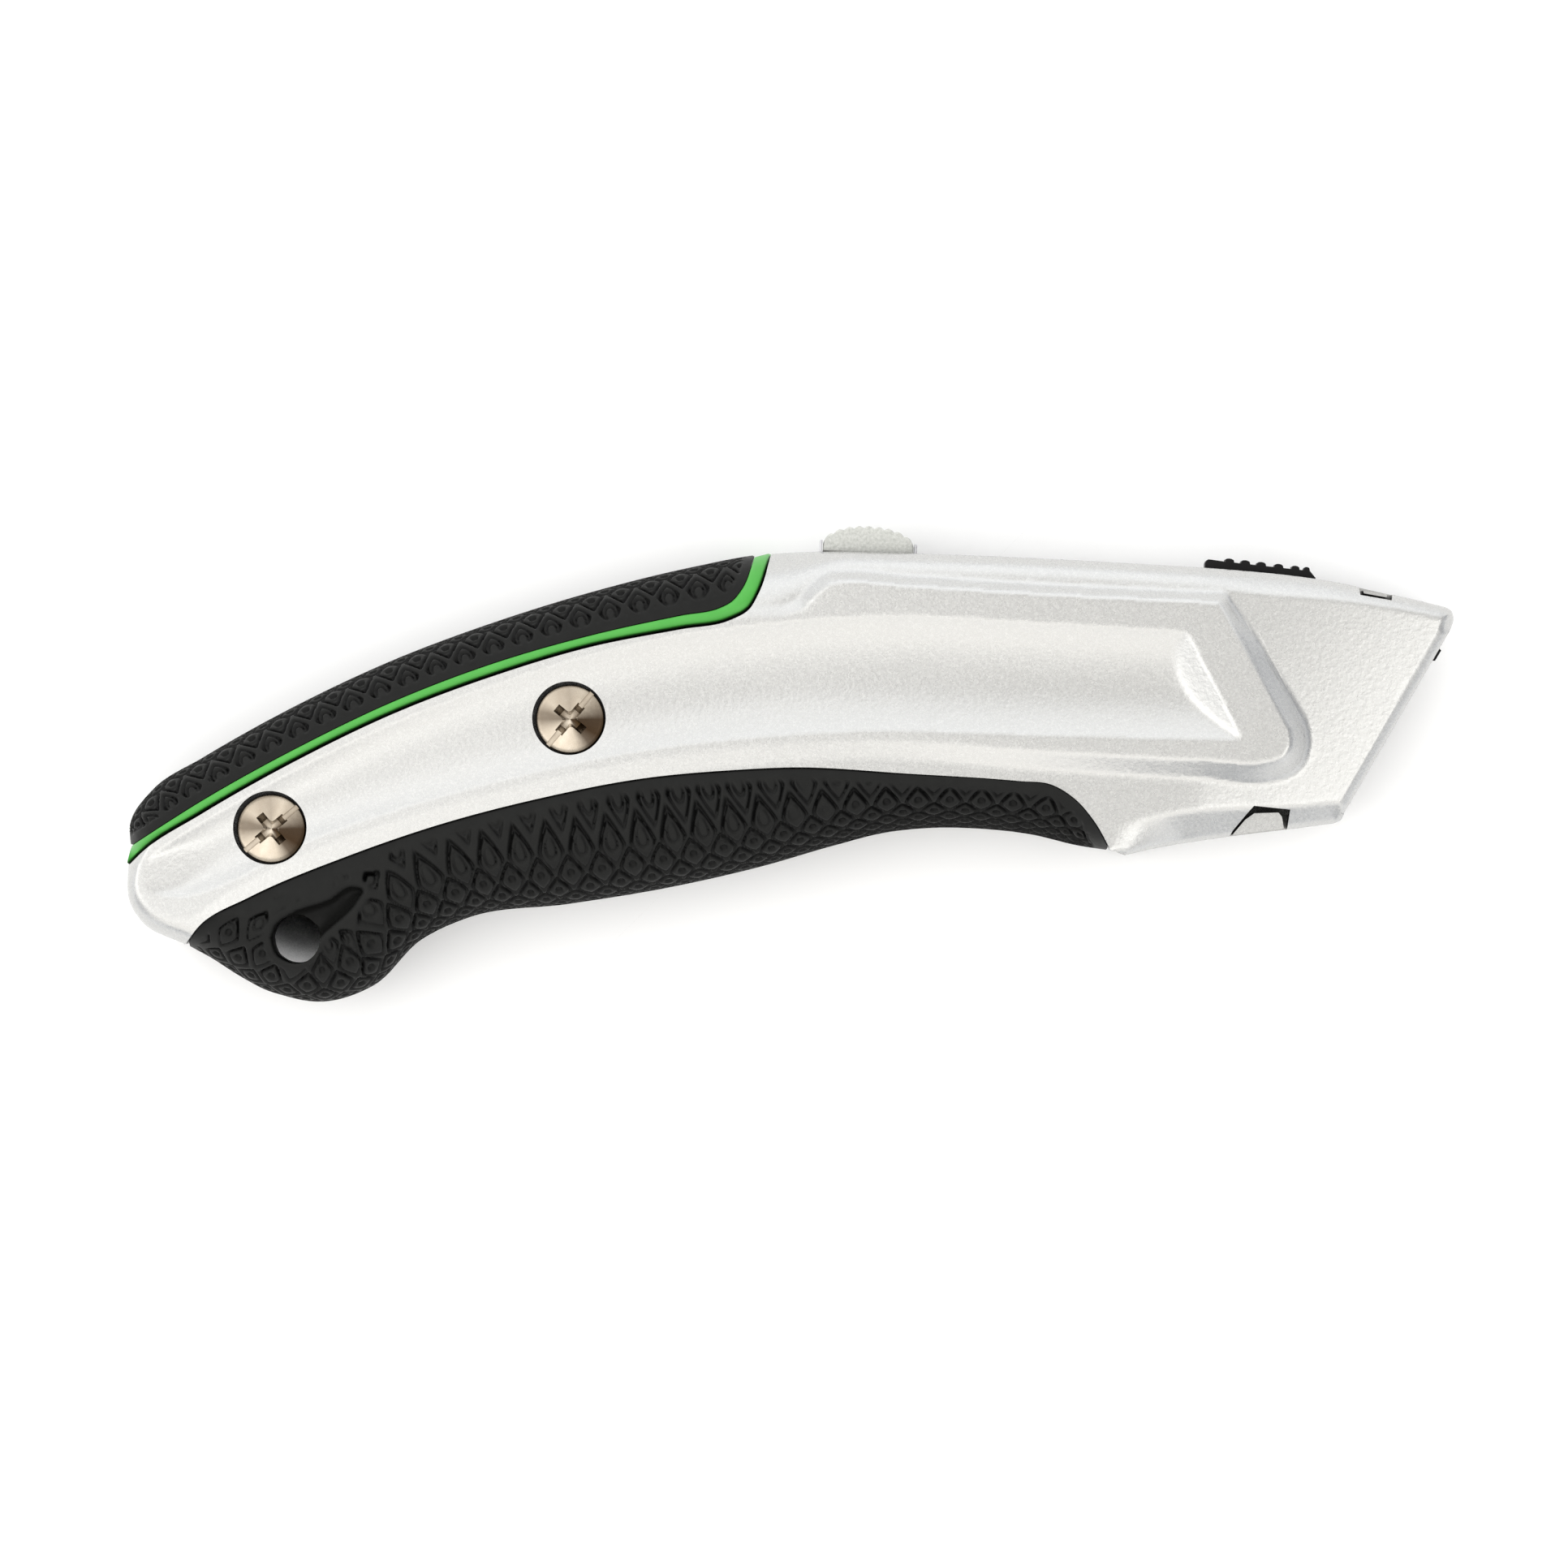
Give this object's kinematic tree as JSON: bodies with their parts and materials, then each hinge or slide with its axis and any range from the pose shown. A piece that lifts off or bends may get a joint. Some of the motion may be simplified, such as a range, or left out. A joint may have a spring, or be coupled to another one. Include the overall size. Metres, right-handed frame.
{
  "type": "utility knife",
  "caption": "Retractable utility knife with a curved two-half cast body, wrapped grips, a sliding thumb knob and a ribbed blade release button.",
  "frame": {"origin": "centre of the bounding box in X and Y, on the surface that the knife's left side lies on", "axes": "+X along the handle towards the nose, +Y towards the spine and the thumb knob, +Z out of the right side, which carries the screw heads"},
  "size_m": [0.1747, 0.0627, 0.022],
  "materials": {
    "silver_paint": "fine metallic silver paint with visible sparkle, satin",
    "black_rubber": "moulded diamond pattern with smooth borders, matte to satin",
    "green_trim": "satin bright green",
    "screw_nickel": "warm nickel plate, turned face",
    "blade_steel": "ground carbon steel",
    "spring_steel": "rolled strip",
    "knob_grey": "light grey, sand textured",
    "black_plastic": "moulded, fine texture"
  },
  "bodies": {
    "handle": {"right_body_shell": "silver_paint", "left_body_shell": "silver_paint", "right_lower_grip": "black_rubber", "left_lower_grip": "black_rubber", "right_upper_grip": "black_rubber", "left_upper_grip": "black_rubber", "right_trim": "green_trim", "left_trim": "green_trim", "front_body_screw": "screw_nickel", "rear_body_screw": "screw_nickel", "nose_blade_guide": "black_plastic", "release_pin": "screw_nickel", "release_spring": "spring_steel", "detent_spring": "spring_steel", "spare_blade_1": "blade_steel", "spare_blade_2": "blade_steel", "spare_blade_3": "blade_steel", "spare_blade_clip": "spring_steel"},
    "carriage": {"blade_carrier": "black_plastic", "cutting_blade": "blade_steel", "knob_frame": "spring_steel", "knob_spring": "spring_steel"},
    "knob": {"thumb_knob": "knob_grey"},
    "release": {"release_button": "black_plastic"}
  },
  "joints": [
    {"name": "blade_slide", "type": "slide", "parent": "handle", "child": "carriage", "axis": [0.9988, -0.0482, 0], "range_m": [0, 0.025], "deforming": ["detent_spring"]},
    {"name": "knob_press", "type": "slide", "parent": "carriage", "child": "knob", "axis": [-0.0482, -0.9988, 0], "range_m": [0, 0.001], "stiffness_N_per_m": 600, "springref_m": -0.002, "deforming": ["knob_spring"]},
    {"name": "release_press", "type": "hinge", "parent": "handle", "child": "release", "pos_m": [0.0519, 0.0226, 0.011], "axis": [0, 0, -1], "range_deg": [0, 4], "stiffness_Nm_per_rad": 0.4, "springref_deg": -4.01, "deforming": ["release_spring"]}
  ]
}
